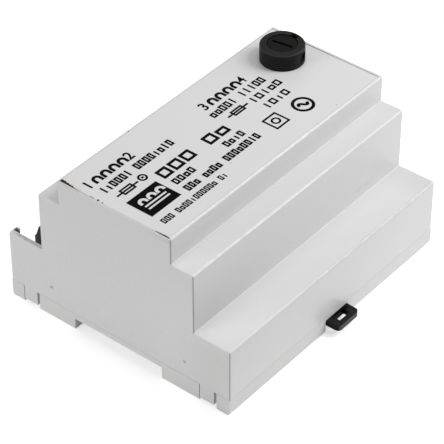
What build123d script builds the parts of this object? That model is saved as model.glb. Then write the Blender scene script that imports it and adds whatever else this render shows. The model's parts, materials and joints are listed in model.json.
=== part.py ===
from build123d import *

import os

# A DIN rail transformer in a stepped six-module housing. Lengths are in millimetres.
# X runs along the rail, +Y points to the terminal side, and Z = 0 is the face that sits on the rail.

# Housing outline
LENGTH = 106.0
DEPTH = 90.0
MIDDLE_DEPTH = 62.0
TOP_DEPTH = 45.0
FOOT_HEIGHT = 4.3
SEAM_HEIGHT = 2.0
LOW_STEP = 21.7
HIGH_STEP = 44.1
TOP_HEIGHT = 53.7
WALL = 1.6
EDGE_ROUND = 0.7
INNER_ROUND = 0.25
END_ROUND = 0.45
SEAM_CHAMFER = 0.15
POST_WIDTH = 3.5
COVER_GROOVE = 1.4
COVER_GROOVE_DEPTH = 1.1
COVER_GROOVE_HEIGHT = 16.0
DIMPLE_RADIUS = 0.6
DIMPLE_DEPTH = 0.2
DIMPLE_OFFSET = 27.4
DIMPLE_HEIGHT = 8.1

# Front panel, let into the top of the hood, worn short at its two left corners.
# Wear is the gap that is left at so much run from the corner.
PANEL = 1.2
PANEL_RIM = 0.8
PANEL_LEFT_RIM = 0.25
PANEL_RIGHT_RIM = 1.15
PANEL_FIT = 0.06
PANEL_REAR_GAP = 0.18
PANEL_END_GAP = 0.35
REAR_CORNER_WEAR = ((1.1, 0.0), (0.75, 3.0), (0.15, 6.5), (0.0, 17.0))
FRONT_CORNER_WEAR = ((0.25, 0.0), (0.0, 7.0))

# Base tray
FLOOR = 2.0
LIP = 1.2
LIP_HEIGHT = 2.5
LIP_FIT = 0.2
FOOT_ROUND = 1.2
RECESS_WALL = 2.0
POST_RADIUS = 4.0
POST_SCREW_DEPTH = 8.0
RIB = 1.6
RIB_PLACES = (-44.0, -15.0, 15.0, 44.0)

# Snap tabs that hold the hood on the base, two on each end
TAB_WIDTH = 5.5
TAB_PLACES = (-36.0, 36.9)
TAB_RISE = 1.0
TAB_SLIT = 0.3
TAB_SLOT = 1.0
TAB_FIT = 0.2
BARB = 0.6
BARB_HEIGHT = 1.4
BARB_RISE = 1.3

# The 35 mm rail that the recess, hooks and latch fit
RAIL_WIDTH = 35.0
RAIL_FLANGE = 1.0
RAIL_PLAY = 0.25
RECESS_PLAY = 0.5
HOOK_OVERLAP = 1.3
HOOK_HEIGHT = 1.95
HOOK_LENGTH = 14.0
HOOK_LEAD_IN = 1.0
HOOK_PLACES = (-25.0, 25.0)

# Rail latch and its spring
LATCH_WIDTH = 10.8
LATCH_PLACE = 1.0
LATCH_THICKNESS = 2.05
LATCH_TOP = 0.85
LATCH_REACH = 5.0
LATCH_CORNER = 1.5
LATCH_FIT = 0.25
LATCH_SIDE_FIT = 0.4
LATCH_TRAVEL = 4.0
LATCH_SETBACK = 4.0
LATCH_WEB = 4.2
LATCH_ROOT = 2.0
PULL_WIDTH = 5.1
PULL_DEPTH = 2.35
PULL_EDGE = 1.85
TONGUE_WIDTH = 8.0
LEDGE = 1.2
WINDOW_WIDTH = 4.4
PEG = 1.5
PEG_WIDTH = 3.2
PEG_FIT = 0.3
SPRING_PRESSED = 6.0
SPRING_RADIUS = 0.85
SPRING_WIRE = 0.4
SPRING_TURNS = 6
SPRING_SIDES = 6
SPRING_FIT = 0.05

# Fuse holder and its carrier
FUSE_INSET = 12.8
FUSE_OFFSET = 8.6
FUSE_TURN = 9.5
COLLAR_RADIUS = 7.5
COLLAR_HEIGHT = 6.0
COLLAR_ROUND = 0.4
RING_COUNT = 6
RING_PITCH = 0.75
RING_DEPTH = 0.18
SHANK_RADIUS = 6.2
SHANK_FIT = 0.15
KEYWAY_WIDTH = 4.0
KEYWAY_DEPTH = 1.1
KEYWAY_RISE = 1.0
KEYWAY_ANGLE = 5.5
ENTRY_ANGLE = -6.0
ENTRY_WIDTH = 2.6
ENTRY_REACH = 1.3
ENTRY_DEPTH = 1.6
NUT_RADIUS = 8.5
NUT_HEIGHT = 3.0
NUT_FIT = 0.08
CAP_RADIUS = 4.9
CAP_FIT = 0.25
CAP_HEIGHT = 7.5
CAP_SINK = 0.2
CAP_SLOT_LENGTH = 7.4
CAP_SLOT_WIDTH = 1.0
CAP_SLOT_DEPTH = 1.2
STEM_RADIUS = 3.4
STEM_LENGTH = 10.0
SOCKET_DEPTH = 4.0
HOLDER_FLOOR = 2.0
CONTACT = 0.6
CONTACT_WIDTH = 2.8
CONTACT_FIT = 0.1
CONTACT_DROP = 1.5
LUG_REACH = 1.8
LUG_TAIL = 1.9
BOTTOM_LUG = 4.0

# Fuse, 5 mm across and 20 mm long
FUSE_LENGTH = 20.0
FUSE_RADIUS = 2.6
FUSE_CAP_LENGTH = 5.0
FUSE_CAP_WALL = 0.2
FUSE_FIT = 0.05
GLASS_WALL = 0.5
FUSE_WIRE_RADIUS = 0.15

# Terminal board
BOARD = 1.6
BOARD_TOP = 5.6
BOARD_OVERHANG = 1.5
BOARD_RIM = 1.2
BOARD_FIT = 0.3
PAD_ROOM = 3.8
PAD_INSET = 2.1

# Terminal blocks with rising cage clamps
POLES = 2
PITCH = 7.5
TERMINAL_INSET = 8.3
TERMINAL_GAP = 0.2
TERMINAL_FLOOR = 0.8
INNER_WALL = 1.0
WIRE_WALL = 4.2
WIRE_RADIUS = 2.0
WIRE_ROOM = 4.4
HEAD_SINK = 0.4
SLOPE_HEIGHT = 3.8
SLOPE_RUN = 1.3
SLOPE_LEDGE = 0.7
CAGE_WIDTH = 5.2
CAGE_DEPTH = 5.0
CAGE_SIDE = 0.5
CAGE_FLOOR = 0.8
CAGE_HEAD = 1.6
CAGE_FIT = 0.2
CLAMP_TRAVEL = 4.0
BAR = 0.8
BAR_WIDTH = 3.0
BAR_FIT = 0.1
LEG = 0.6
LEG_STICKOUT = 1.4
SCREW_RADIUS = 1.5
SCREW_HEAD_RADIUS = 2.3
SCREW_HEAD = 2.0
SCREW_SLOT_WIDTH = 0.8
SCREW_SLOT_DEPTH = 1.0
THREAD_FIT = 0.05
SCREW_FIT = 0.2

# Core, an E stack closed by an I stack, as large as the hood and the fuse holder leave room for
CORE_SIDE_ROOM = 4.0
CORE_END_ROOM = 4.4
CORE_WINDOW = 10.0
CORE_YOKE = 10.0
CORE_SCREW_RADIUS = 1.7
CORE_SCREW_FIT = 0.1
CORE_SCREW_HEAD_RADIUS = 2.75
CORE_SCREW_HEAD = 2.0
CORE_SCREW_ROOM = 3.5

# Bobbin and windings
BOBBIN_FIT = 0.2
BOBBIN_WALL = 1.0
BOBBIN_CLEAR = 0.6
FLANGE = 1.2
FLANGE_RIM = 0.5
PRIMARY = 3.8
SECONDARY = 3.5
TAPE = 0.4
PIN_INSET = 4.4
PIN_PITCH = 6.0
PIN_RADIUS = 0.5
PIN_LENGTH = 4.5
PIN_RISE = 3.3

# Thermal link and leads
LINK_RADIUS = 1.6
LINK_LENGTH = 9.0
LINK_INSET = 2.0
LINK_ROOM = 1.8
LINK_WIRE_RADIUS = 0.4
LINK_WIRE_BEND = 1.0
LINK_WIRE_FRONT = 3.5
LEAD_RADIUS = 0.8
LEAD_BEND = 3.0
LEAD_TIGHT_BEND = 1.9
LEAD_STUB = 0.3
LEAD_CLEAR = 1.6
LEAD_WALL_GAP = 0.9

# Sides of the section that stands for a thin round wire
WIRE_SIDES = 8

# Cuts that pass right through run on by this much
OVERCUT = 1.0

# Places worked out from the sizes
HALF = LENGTH / 2
ENDS = (-HALF, HALF)
INSIDE = (-HALF + WALL, HALF - WALL)
FRONT = -DEPTH / 2
REAR = DEPTH / 2
REAR_WALL = MIDDLE_DEPTH / 2
CEILING = TOP_HEIGHT - PANEL - WALL
BASE_RIM = WALL + LIP_FIT + LIP
TROUGH_FLOOR = FLOOR - FOOT_HEIGHT

RECESS = RAIL_WIDTH / 2 + RECESS_PLAY
HOOK_TIP = RAIL_WIDTH / 2 - HOOK_OVERLAP
HOOK_TOP = -RAIL_FLANGE - RAIL_PLAY
HOOK_BOTTOM = HOOK_TOP - HOOK_HEIGHT

LATCH_FRONT = FRONT - LATCH_REACH
LATCH_BACK = -RECESS - LATCH_SETBACK
LATCH_BOTTOM = LATCH_TOP - LATCH_THICKNESS
CHANNEL = LATCH_WIDTH + 2 * LATCH_SIDE_FIT
CHANNEL_TOP = LATCH_TOP + LATCH_FIT
SPRING_LENGTH = SPRING_PRESSED + LATCH_TRAVEL
SPRING_BACK = LATCH_BACK - LATCH_WEB
SPRING_FRONT = SPRING_BACK - SPRING_LENGTH
PEG_FRONT = SPRING_FRONT - PEG
WINDOW_FRONT = PEG_FRONT - PEG_FIT

CORE_WIDTH = 2 * (HALF - FUSE_INSET - SHANK_RADIUS - CORE_SIDE_ROOM)
CORE_DEPTH = MIDDLE_DEPTH - 2 * (WALL + CORE_END_ROOM)
CORE_LEG = CORE_WIDTH - 2 * (CORE_WINDOW + CORE_YOKE)
CORE_WINDOW_LENGTH = CORE_DEPTH - 2 * CORE_YOKE
WINDING = BOBBIN_FIT + BOBBIN_WALL + PRIMARY + SECONDARY + TAPE
CORE_BOTTOM = FLOOR + BOBBIN_CLEAR + FLANGE_RIM + WINDING
CORE_TOP = min(
    HIGH_STEP - WALL - CORE_SCREW_HEAD - CORE_SCREW_ROOM,
    CEILING - LINK_ROOM - 2 * LINK_RADIUS - WINDING,
)
CORE_STACK = CORE_TOP - CORE_BOTTOM
CORE_MIDDLE = (CORE_BOTTOM + CORE_TOP) / 2
CORE_HOLES = [
    (x * (CORE_WIDTH - CORE_YOKE) / 2, y * (CORE_DEPTH - CORE_YOKE) / 2)
    for x in (-1, 1)
    for y in (-1, 1)
]
FLANGE_FACE = CORE_WINDOW_LENGTH / 2 - BOBBIN_FIT
LAST_PIN = CORE_LEG / 2 + WINDING + FLANGE_RIM - PIN_INSET
PIN_PLACES = (-LAST_PIN, LAST_PIN - PIN_PITCH, LAST_PIN)
PIN_HEIGHT = CORE_TOP + PIN_RISE
PIN_TIP = FLANGE_FACE + PIN_LENGTH
TAPE_TOP = CORE_TOP + WINDING
LINK_PLACE = LINK_INSET - CORE_LEG / 2
LINK_HEIGHT = TAPE_TOP + LINK_RADIUS
LINK_LEAD_DROP = TOP_DEPTH / 2 - WALL - LEAD_WALL_GAP - LEAD_RADIUS
LINK_WIRE_END = LINK_LEAD_DROP - LEAD_TIGHT_BEND - LEAD_STUB

TERMINAL_BACK = REAR_WALL + TERMINAL_GAP
CAVITY = (TERMINAL_BACK + INNER_WALL, TERMINAL_BACK + INNER_WALL + CAGE_DEPTH + 2 * CAGE_FIT)
CLAMP = (CAVITY[0] + CAVITY[1]) / 2
WIRE_FACE = CAVITY[1] + WIRE_WALL
CAGE_BOTTOM = BOARD_TOP + TERMINAL_FLOOR + CAGE_FIT
WIRE_FLOOR = CAGE_BOTTOM + CAGE_FLOOR
BAR_BOTTOM = WIRE_FLOOR + WIRE_ROOM
BAR_TOP = BAR_BOTTOM + BAR
CAGE_ROOF = BAR_TOP + SCREW_FIT
CAGE_TOP = CAGE_ROOF + CAGE_HEAD
CAVITY_TOP = CAGE_TOP + CLAMP_TRAVEL + CAGE_FIT
HEAD_BOTTOM = CAVITY_TOP + BAR_FIT
HEAD_TOP = HEAD_BOTTOM + SCREW_HEAD
TERMINAL_TOP = HEAD_TOP + HEAD_SINK
TERMINAL_WIDTH = POLES * PITCH
SIDES = {"input": -1, "output": 1}

BOARD_BACK = REAR_WALL - WALL - PAD_ROOM
BOARD_FRONT = WIRE_FACE + BOARD_RIM
BOARD_HALF = HALF - TERMINAL_INSET + BOARD_OVERHANG
PAD = BOARD_BACK + PAD_INSET

FUSE_AXIS = (HALF - FUSE_INSET, FUSE_OFFSET)
COLLAR_TOP = TOP_HEIGHT + COLLAR_HEIGHT
CAP_TOP = COLLAR_TOP - CAP_SINK
CAP_BOTTOM = CAP_TOP - CAP_HEIGHT
STEM_BOTTOM = CAP_BOTTOM - STEM_LENGTH
FUSE_TOP = STEM_BOTTOM + SOCKET_DEPTH
FUSE_BOTTOM = FUSE_TOP - FUSE_LENGTH
HOLDER_SEAT = FUSE_BOTTOM - CONTACT_FIT - CONTACT
HOLDER_BOTTOM = HOLDER_SEAT - HOLDER_FLOOR
STEM_BORE = STEM_RADIUS + CAP_FIT
SIDE_CONTACT_TOP = CEILING - NUT_HEIGHT - CONTACT_DROP
LUG_FACE = SHANK_RADIUS + LUG_REACH
BOTTOM_LUG_END = HOLDER_BOTTOM - BOTTOM_LUG


# Shapes used again and again

def span(middle, width):
    """The two limits of a width about a middle."""
    return middle - width / 2, middle + width / 2


def block(x, y, z):
    """A box between two limits along each axis."""
    middle = [(low + high) / 2 for low, high in (x, y, z)]
    size = [high - low for low, high in (x, y, z)]
    return Pos(*middle) * Box(*size)


def rod(place, radius, z):
    """An upright round bar at an (x, y) place between two heights."""
    return Pos(*place, (z[0] + z[1]) / 2) * Cylinder(radius, z[1] - z[0])


def outline(points):
    """A flat face with straight sides."""
    return make_face(Polyline(*points, close=True))


def along_x(face, x):
    """A (y, z) face drawn along the rail between two x values."""
    return extrude(Plane.YZ.offset(x[0]) * face, x[1] - x[0], dir=(1, 0, 0))


def along_y(face, y):
    """An (x, z) face drawn across the rail between two y values."""
    plane = Plane(origin=(0, y[0], 0), x_dir=(1, 0, 0), z_dir=(0, -1, 0))
    return extrude(plane * face, y[1] - y[0], dir=(0, 1, 0))


def turned(points):
    """A solid of revolution about the Z axis from (radius, z) points."""
    return revolve(Plane.XZ * outline(points), Axis.Z)


def wire(points, radius, bend):
    """A thin wire along straight runs joined by arcs."""
    path = FilletPolyline(*points, radius=bend) if len(points) > 2 else Line(*points)
    section = Plane(origin=path @ 0, z_dir=path % 0) * RegularPolygon(radius, WIRE_SIDES)
    return sweep(section, path)


# Housing

def steps(inset, bottom, top):
    """Corners of the stepped (y, z) outline, drawn in by an inset."""
    half = [
        (REAR - inset, bottom),
        (REAR - inset, LOW_STEP - inset),
        (REAR_WALL - inset, LOW_STEP - inset),
        (REAR_WALL - inset, HIGH_STEP - inset),
        (TOP_DEPTH / 2 - inset, HIGH_STEP - inset),
        (TOP_DEPTH / 2 - inset, top),
    ]
    return half + [(-y, z) for y, z in reversed(half)]


def hood_tab(side, place):
    """A snap tab that carries on the end wall down beside the base, with a barb on its inner face."""
    outer = side * HALF
    inner = side * (HALF - WALL)
    barb_tip = inner - side * BARB
    barb_bottom = -FOOT_HEIGHT + TAB_RISE
    barb_top = barb_bottom + BARB_RISE + BARB_HEIGHT
    y = span(place, TAB_WIDTH)
    tab = block(sorted((outer, inner)), y, (barb_bottom, SEAM_HEIGHT + SEAM_CHAMFER))
    barb = outline([(inner, barb_top), (barb_tip, barb_top), (inner, barb_top - BARB_HEIGHT)])
    return tab + along_y(barb, y)


def is_inner_corner(y, z):
    """Whether a corner of the stepped outline is one between a riser and the tread at its foot."""
    corner = (round(abs(y), 3), round(z, 3))
    return corner in ((MIDDLE_DEPTH / 2, LOW_STEP), (TOP_DEPTH / 2, HIGH_STEP))


def hood():
    """The stepped cover: closed on the latch side, with an open bay for the terminals behind."""
    profile = outline(steps(0, SEAM_HEIGHT, TOP_HEIGHT))
    corners = [v for v in profile.vertices() if v.Y > SEAM_HEIGHT + SEAM_CHAMFER]
    inner = [v for v in corners if is_inner_corner(v.X, v.Y)]
    profile = fillet([v for v in corners if v not in inner], EDGE_ROUND)
    profile = fillet([v for v in profile.vertices() if is_inner_corner(v.X, v.Y)], INNER_ROUND)
    shell = along_x(profile, ENDS)
    by_place = shell.faces().sort_by(Axis.X)
    end_edges = by_place[0].edges() + by_place[-1].edges()
    shell = fillet([e for e in end_edges if e.center().Z > SEAM_HEIGHT + OVERCUT], END_ROUND)
    shell = chamfer(shell.edges().group_by(Axis.Z)[0], SEAM_CHAMFER)

    below = SEAM_HEIGHT - OVERCUT
    room = along_x(outline(steps(WALL, below, CEILING)), INSIDE)
    room -= block(INSIDE, (REAR_WALL - WALL, REAR), (below, LOW_STEP))
    shell -= room

    bay = block(INSIDE, (REAR_WALL, REAR + OVERCUT), (below, LOW_STEP + OVERCUT))
    for side in (-1, 1):
        post = span(side * (HALF - POST_WIDTH / 2), POST_WIDTH)
        bay -= block(post, (REAR - WALL, REAR), (below, LOW_STEP))
    shell -= bay
    for side in (-1, 1):
        groove = sorted((side * (HALF - WALL), side * (HALF - WALL - COVER_GROOVE)))
        inset = (REAR - WALL, REAR - WALL + COVER_GROOVE_DEPTH)
        shell -= block(groove, inset, (LOW_STEP - COVER_GROOVE_HEIGHT, LOW_STEP + OVERCUT))
    shell -= block(INSIDE, (REAR_WALL - 2 * WALL, REAR), (below, BOARD_TOP + BOARD_FIT)) - block(
        ENDS, (REAR - WALL, REAR), (below, LOW_STEP)
    )

    shell -= block(
        (-HALF + PANEL_LEFT_RIM, HALF - PANEL_RIGHT_RIM),
        span(0, TOP_DEPTH - 2 * PANEL_RIM),
        (TOP_HEIGHT - PANEL, TOP_HEIGHT + OVERCUT),
    )
    shell -= rod(FUSE_AXIS, SHANK_RADIUS + SHANK_FIT, (CEILING - OVERCUT, TOP_HEIGHT))
    for side in (-1, 1):
        for place in (-DIMPLE_OFFSET, DIMPLE_OFFSET):
            mark = Pos(side * HALF, place, DIMPLE_HEIGHT) * Rot(Y=90)
            shell -= mark * Cylinder(DIMPLE_RADIUS, 2 * DIMPLE_DEPTH)
        for place in TAB_PLACES:
            shell += hood_tab(side, place)
    return shell


def front_panel():
    """The plate in the top of the hood, tapered back at its two left corners."""
    left = -HALF + PANEL_LEFT_RIM + PANEL_FIT
    right = HALF - PANEL_RIGHT_RIM - PANEL_END_GAP
    front = -TOP_DEPTH / 2 + PANEL_RIM + PANEL_FIT
    rear = TOP_DEPTH / 2 - PANEL_RIM - PANEL_REAR_GAP
    rear_edge = [(left + gap, rear - run) for gap, run in REAR_CORNER_WEAR]
    front_edge = [(left + gap, front + run) for gap, run in reversed(FRONT_CORNER_WEAR)]
    face = outline([(right, front), (right, rear)] + rear_edge + front_edge)
    plate = Pos(0, 0, TOP_HEIGHT - PANEL) * extrude(face, PANEL, dir=(0, 0, 1))
    return plate - rod(FUSE_AXIS, SHANK_RADIUS + SHANK_FIT, (TOP_HEIGHT - 2 * PANEL, TOP_HEIGHT + PANEL))


def tab_pocket(side, place):
    """The cut in the base for one snap tab: a slit on one flank, a wider slot on the other."""
    outer = side * (HALF + OVERCUT)
    inner = side * (HALF - WALL - TAB_FIT)
    barb_end = inner - side * BARB
    barb_bottom = -FOOT_HEIGHT + TAB_RISE + BARB_RISE
    y = (place - TAB_WIDTH / 2 - TAB_SLOT, place + TAB_WIDTH / 2 + TAB_SLIT)
    cut = block(sorted((outer, inner)), y, (-FOOT_HEIGHT - OVERCUT, SEAM_HEIGHT + SEAM_CHAMFER))
    barb_room = (barb_bottom - TAB_FIT, barb_bottom + BARB_HEIGHT + TAB_FIT)
    return cut + block(sorted((outer, barb_end)), y, barb_room)


def rail_hook(place):
    """A fixed lip that reaches under the rear edge of the rail."""
    face = outline([
        (RECESS + OVERCUT, HOOK_TOP),
        (HOOK_TIP, HOOK_TOP),
        (HOOK_TIP, HOOK_BOTTOM + HOOK_LEAD_IN),
        (HOOK_TIP + HOOK_LEAD_IN, HOOK_BOTTOM),
        (RECESS + OVERCUT, HOOK_BOTTOM),
    ])
    return along_x(face, span(place, HOOK_LENGTH))


def latch_guide():
    """Two ledges under the latch, and the peg that stops it and takes its spring."""
    ledge_top = LATCH_BOTTOM - LATCH_FIT
    peg = span(LATCH_PLACE, PEG_WIDTH)
    guide = block(peg, (PEG_FRONT, SPRING_FRONT), (LATCH_BOTTOM, CHANNEL_TOP + FLOOR / 2))
    for side in (-1, 1):
        inner = LATCH_PLACE + side * (TONGUE_WIDTH / 2 + LATCH_SIDE_FIT)
        outer = LATCH_PLACE + side * (CHANNEL / 2 + WALL / 2)
        guide += block(sorted((inner, outer)), (FRONT + BASE_RIM, LATCH_BACK), (ledge_top - LEDGE, ledge_top))
    return guide


def base():
    """The tray with its two feet, rail recess, hooks, latch channel and core posts."""
    tray = block(ENDS, (FRONT, REAR), (-FOOT_HEIGHT, SEAM_HEIGHT))
    tray = fillet(tray.edges().filter_by(Axis.X).group_by(Axis.Z)[0], FOOT_ROUND)
    trough_ends = (-HALF + BASE_RIM, HALF - BASE_RIM)
    for side in (-1, 1):
        trough = sorted((side * (RECESS + RECESS_WALL), side * (REAR - BASE_RIM)))
        tray -= block(trough_ends, trough, (TROUGH_FLOOR, SEAM_HEIGHT + OVERCUT))

    lip_x = (INSIDE[0] + LIP_FIT, INSIDE[1] - LIP_FIT)
    lip_y = (FRONT + WALL + LIP_FIT, REAR_WALL - 2 * WALL)
    lip = block(lip_x, lip_y, (SEAM_HEIGHT, SEAM_HEIGHT + LIP_HEIGHT))
    tray += lip - block(
        (lip_x[0] + LIP, lip_x[1] - LIP), (lip_y[0] + LIP, REAR), (SEAM_HEIGHT, SEAM_HEIGHT + LIP_HEIGHT)
    )

    for place in CORE_HOLES:
        tray += rod(place, POST_RADIUS, (TROUGH_FLOOR - FLOOR / 2, CORE_BOTTOM))
        tray -= rod(place, CORE_SCREW_RADIUS + CORE_SCREW_FIT, (CORE_BOTTOM - POST_SCREW_DEPTH, CORE_BOTTOM))
    for place in RIB_PLACES:
        rib_y = (BOARD_BACK, REAR - BASE_RIM + LIP / 2)
        tray += block(span(place, RIB), rib_y, (TROUGH_FLOOR - FLOOR / 2, BOARD_TOP - BOARD))

    tray += block(
        span(LATCH_PLACE, CHANNEL + 2 * WALL),
        (FRONT + BASE_RIM - LIP / 2, -RECESS),
        (TROUGH_FLOOR - FLOOR, CHANNEL_TOP + FLOOR),
    )
    channel = span(LATCH_PLACE, CHANNEL)
    tray -= block(channel, (FRONT - OVERCUT, -RECESS), (-FOOT_HEIGHT - OVERCUT, CHANNEL_TOP))
    tray += latch_guide()
    tray -= block((-LENGTH, LENGTH), (-RECESS, RECESS), (-FOOT_HEIGHT - OVERCUT, 0))
    for place in HOOK_PLACES:
        tray += rail_hook(place)
    for side in (-1, 1):
        for place in TAB_PLACES:
            tray -= tab_pocket(side, place)
    return tray


# Rail latch

def rail_latch():
    """The slide: a pull slot in front, a window for the spring, and a tongue that goes under the rail."""
    width = span(LATCH_PLACE, LATCH_WIDTH)
    plate = block(width, (LATCH_FRONT, LATCH_BACK), (LATCH_BOTTOM, LATCH_TOP))
    plate = fillet(plate.edges().filter_by(Axis.Z).group_by(Axis.Y)[0], LATCH_CORNER)
    pull = (LATCH_FRONT + PULL_EDGE, LATCH_FRONT + PULL_EDGE + PULL_DEPTH)
    through = (LATCH_BOTTOM - OVERCUT, LATCH_TOP + OVERCUT)
    plate -= block(span(LATCH_PLACE, PULL_WIDTH), pull, through)
    plate -= block(span(LATCH_PLACE, WINDOW_WIDTH), (WINDOW_FRONT, SPRING_BACK), through)
    tongue = outline([
        (LATCH_BACK - LATCH_ROOT, LATCH_BOTTOM + LATCH_THICKNESS / 2),
        (LATCH_BACK, LATCH_BOTTOM + LATCH_THICKNESS / 2),
        (LATCH_BACK, HOOK_TOP),
        (-HOOK_TIP, HOOK_TOP),
        (-HOOK_TIP, HOOK_BOTTOM + HOOK_LEAD_IN),
        (-HOOK_TIP - HOOK_LEAD_IN, HOOK_BOTTOM),
        (LATCH_BACK - LATCH_ROOT, HOOK_BOTTOM),
    ])
    return plate + along_x(tongue, span(LATCH_PLACE, TONGUE_WIDTH))


def latch_spring():
    """A coil spring between the peg of the base and the back of the latch window."""
    length = SPRING_LENGTH - SPRING_WIRE - 2 * SPRING_FIT
    path = Helix(length / SPRING_TURNS, length, SPRING_RADIUS)
    section = Plane(origin=path @ 0, z_dir=path % 0) * RegularPolygon(SPRING_WIRE / 2, SPRING_SIDES)
    coil = sweep(section, path, is_frenet=True)
    place = Pos(LATCH_PLACE, SPRING_FRONT + SPRING_FIT + SPRING_WIRE / 2, LATCH_BOTTOM + LATCH_THICKNESS / 2)
    return place * Rot(X=-90) * coil


# Fuse holder

def at_fuse(shape, turn=FUSE_TURN):
    """A shape made about the Z axis, moved to the fuse holder's axis."""
    return Pos(*FUSE_AXIS, 0) * Rot(Z=turn) * shape


def collar_outline():
    """The (radius, z) points of the collar's side, with its fine rings, from the panel up."""
    points = [(COLLAR_RADIUS, TOP_HEIGHT)]
    for ring in range(RING_COUNT):
        groove = TOP_HEIGHT + RING_PITCH * (ring + 0.75)
        points.append((COLLAR_RADIUS, groove - RING_DEPTH))
        points.append((COLLAR_RADIUS - RING_DEPTH, groove))
        points.append((COLLAR_RADIUS, groove + RING_DEPTH))
    points.append((COLLAR_RADIUS, COLLAR_TOP - COLLAR_ROUND))
    points.append((COLLAR_RADIUS - COLLAR_ROUND, COLLAR_TOP))
    return points


def fuse_holder_body():
    """The turned body: ringed collar, shank, cap bore and fuse bore."""
    body = turned(
        [(0, HOLDER_BOTTOM), (SHANK_RADIUS, HOLDER_BOTTOM), (SHANK_RADIUS, TOP_HEIGHT)]
        + collar_outline()
        + [
            (CAP_RADIUS + CAP_FIT, COLLAR_TOP),
            (CAP_RADIUS + CAP_FIT, CAP_BOTTOM - CAP_FIT),
            (STEM_BORE, CAP_BOTTOM - CAP_FIT),
            (STEM_BORE, HOLDER_SEAT),
            (0, HOLDER_SEAT),
        ]
    )
    body -= Rot(Z=KEYWAY_ANGLE) * block(
        span(0, KEYWAY_WIDTH),
        (-COLLAR_RADIUS - OVERCUT, -COLLAR_RADIUS + KEYWAY_DEPTH),
        (TOP_HEIGHT + KEYWAY_RISE, COLLAR_TOP - ENTRY_DEPTH),
    )
    entry_end = CAP_RADIUS + CAP_FIT + ENTRY_REACH
    entry_height = (COLLAR_TOP - ENTRY_DEPTH, COLLAR_TOP + OVERCUT)
    entry = block((CAP_RADIUS, entry_end), span(0, ENTRY_WIDTH), entry_height)
    body -= Rot(Z=ENTRY_ANGLE - FUSE_TURN) * entry
    body = at_fuse(body)
    leg_hole = CONTACT_WIDTH + 2 * CONTACT_FIT
    slot_height = (SIDE_CONTACT_TOP - CONTACT - CONTACT_FIT, SIDE_CONTACT_TOP + CONTACT_FIT)
    body -= at_fuse(block(span(0, leg_hole), (0, SHANK_RADIUS + OVERCUT), slot_height), 0)
    leg_depth = CONTACT + 2 * CONTACT_FIT
    body -= at_fuse(block(span(0, leg_hole), span(0, leg_depth), (HOLDER_BOTTOM, HOLDER_SEAT)), 0)
    return body


def fuse_holder_nut():
    """The ring nut that clamps the holder from inside the hood."""
    z = (CEILING - NUT_HEIGHT, CEILING)
    return rod(FUSE_AXIS, NUT_RADIUS, z) - rod(FUSE_AXIS, SHANK_RADIUS + NUT_FIT, z)


def fuse_cap():
    """The bayonet carrier: slotted head, stem, and a socket for the top of the fuse."""
    carrier = turned([
        (0, FUSE_TOP + FUSE_FIT),
        (FUSE_RADIUS + FUSE_FIT, FUSE_TOP + FUSE_FIT),
        (FUSE_RADIUS + FUSE_FIT, STEM_BOTTOM),
        (STEM_RADIUS, STEM_BOTTOM),
        (STEM_RADIUS, CAP_BOTTOM),
        (CAP_RADIUS, CAP_BOTTOM),
        (CAP_RADIUS, CAP_TOP),
        (0, CAP_TOP),
    ])
    slot_height = (CAP_TOP - CAP_SLOT_DEPTH, CAP_TOP + OVERCUT)
    slot = block(span(0, CAP_SLOT_WIDTH), span(0, CAP_SLOT_LENGTH), slot_height)
    return at_fuse(carrier - slot)


def fuse_tube():
    """The glass tube between the two end caps."""
    radius = FUSE_RADIUS - FUSE_CAP_WALL - FUSE_FIT
    z = (FUSE_BOTTOM + FUSE_CAP_WALL + FUSE_FIT, FUSE_TOP - FUSE_CAP_WALL - FUSE_FIT)
    return rod(FUSE_AXIS, radius, z) - rod(FUSE_AXIS, radius - GLASS_WALL, z)


def fuse_end_caps():
    """Two metal cups, one on each end of the glass."""
    cups = []
    for end, way in ((FUSE_BOTTOM, 1), (FUSE_TOP, -1)):
        cup = rod(FUSE_AXIS, FUSE_RADIUS, sorted((end, end + way * FUSE_CAP_LENGTH)))
        hollow = sorted((end + way * FUSE_CAP_WALL, end + way * (FUSE_CAP_LENGTH + OVERCUT)))
        cups.append(cup - rod(FUSE_AXIS, FUSE_RADIUS - FUSE_CAP_WALL, hollow))
    return Compound(cups)


def fuse_wire():
    """The melting wire from cap to cap."""
    return rod(FUSE_AXIS, FUSE_WIRE_RADIUS, (FUSE_BOTTOM + FUSE_CAP_WALL, FUSE_TOP - FUSE_CAP_WALL))


def fuse_side_contact():
    """A strip through the shank's wall, with a lug bent down outside it."""
    z = (SIDE_CONTACT_TOP - CONTACT, SIDE_CONTACT_TOP)
    strip = block(span(0, CONTACT_WIDTH), (STEM_BORE + CONTACT_FIT, LUG_FACE), z)
    lug = block(span(0, CONTACT_WIDTH), (LUG_FACE - CONTACT, LUG_FACE), (PIN_HEIGHT - LUG_TAIL, z[1]))
    return at_fuse(strip + lug, 0)


def fuse_bottom_contact():
    """The disc under the fuse, with its lug through the floor of the holder."""
    disc = rod((0, 0), FUSE_RADIUS, (HOLDER_SEAT, HOLDER_SEAT + CONTACT))
    lug = block(span(0, CONTACT_WIDTH), span(0, CONTACT), (BOTTOM_LUG_END, HOLDER_SEAT))
    return at_fuse(disc + lug, 0)


# Terminals

def pole_places(side):
    """The x of each pole, from the end of the housing inwards."""
    return [side * (HALF - TERMINAL_INSET - PITCH * (pole + 0.5)) for pole in range(POLES)]


def terminal_board():
    """The circuit board that the terminal blocks stand on and the leads come to."""
    board = block((-BOARD_HALF, BOARD_HALF), (BOARD_BACK, BOARD_FRONT), (BOARD_TOP - BOARD, BOARD_TOP))
    for side in SIDES.values():
        for x in pole_places(side):
            board -= leg_slot(x, (BOARD_TOP - 2 * BOARD, BOARD_TOP + BOARD))
    return board


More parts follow.
